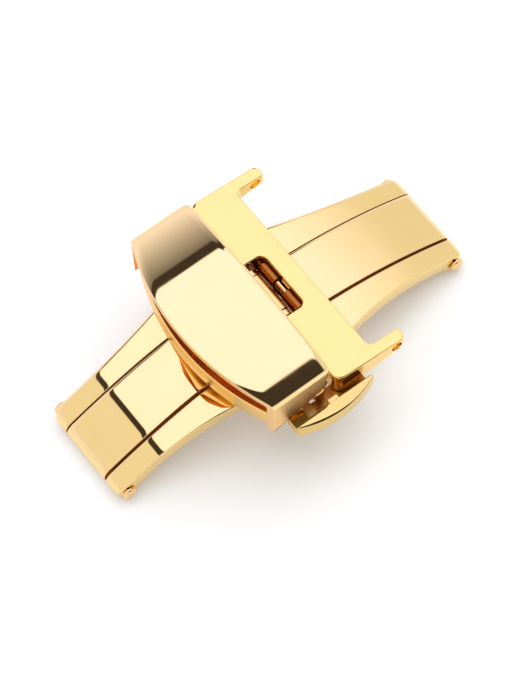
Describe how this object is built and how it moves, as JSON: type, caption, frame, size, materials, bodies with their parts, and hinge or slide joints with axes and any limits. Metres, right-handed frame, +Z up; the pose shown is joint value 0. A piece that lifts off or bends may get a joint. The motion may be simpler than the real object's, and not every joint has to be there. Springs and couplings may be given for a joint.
{
  "type": "watch strap deployment clasp",
  "caption": "Folding butterfly clasp for a leather watch strap, with hinged leaves, an arched swing-up cover, a lug plate for a spring bar and a sprung side button.",
  "frame": {"origin": "centre of the closed clasp's footprint, on the surface that its two end knuckles stand on", "axes": "+X along the strap, from the cover towards the lugs; +Y across the strap, away from the push button; +Z up, away from the wrist"},
  "size_m": [0.0368, 0.0222, 0.0118],
  "materials": {
    "polished_gold": "mirror polished gold plating",
    "leaf_gold": "mirror polished gold plating",
    "head_gold": "polished gold plating with a fine grained front edge",
    "cover_gold": "mirror polished gold plating",
    "plate_gold": "mirror polished gold plating",
    "button_gold": "mirror polished gold plating",
    "pin_gold": "polished gold plating",
    "spring_steel": "drawn wire"
  },
  "bodies": {
    "base": {"base_frame": "polished_gold", "left_end_pin": "pin_gold", "right_end_pin": "pin_gold", "near_catch_stud": "pin_gold", "far_catch_stud": "pin_gold", "near_seat_stud": "pin_gold", "far_seat_stud": "pin_gold"},
    "left_leaf": {"left_leaf": "leaf_gold", "head_pin": "pin_gold"},
    "head": {"head_block": "head_gold", "strap_peg": "pin_gold", "near_cover_pin": "pin_gold", "far_cover_pin": "pin_gold", "near_keeper": "leaf_gold", "far_keeper": "leaf_gold", "button_spring": "spring_steel"},
    "cover": {"cover": "cover_gold"},
    "button": {"push_pad": "button_gold", "catch_slide": "pin_gold"},
    "right_leaf": {"right_leaf": "leaf_gold"},
    "lug_plate": {"lug_plate": "plate_gold", "lug_pin": "pin_gold"}
  },
  "joints": [
    {"name": "left_leaf_hinge", "type": "hinge", "parent": "base", "child": "left_leaf", "pos_m": [-0.01745, 0.00085, 0.001], "axis": [0, -1, 0], "range_deg": [0, 150]},
    {"name": "head_hinge", "type": "hinge", "parent": "left_leaf", "child": "head", "pos_m": [0.0009, 0.00085, 0.00735], "axis": [0, 1, 0], "range_deg": [0, 150]},
    {"name": "cover_hinge", "type": "hinge", "parent": "head", "child": "cover", "pos_m": [-0.0011, 0.00085, 0.007], "axis": [0, 1, 0], "range_deg": [0, 14]},
    {"name": "button_press", "type": "slide", "parent": "head", "child": "button", "axis": [0, 1, 0], "range_m": [0, 0.00045], "stiffness_N_per_m": 1500, "springref_m": -0.0005, "deforming": ["button_spring"]},
    {"name": "right_leaf_hinge", "type": "hinge", "parent": "base", "child": "right_leaf", "pos_m": [0.01745, 0.00085, 0.001], "axis": [0, 1, 0], "range_deg": [0, 150]},
    {"name": "lug_plate_hinge", "type": "hinge", "parent": "right_leaf", "child": "lug_plate", "pos_m": [0.0024, 0.00085, 0.00715], "axis": [0, -1, 0], "range_deg": [0, 150]}
  ],
  "couplings": [
    {"joint": "head_hinge", "follows": "left_leaf_hinge", "ratio": 1},
    {"joint": "lug_plate_hinge", "follows": "right_leaf_hinge", "ratio": 1}
  ]
}
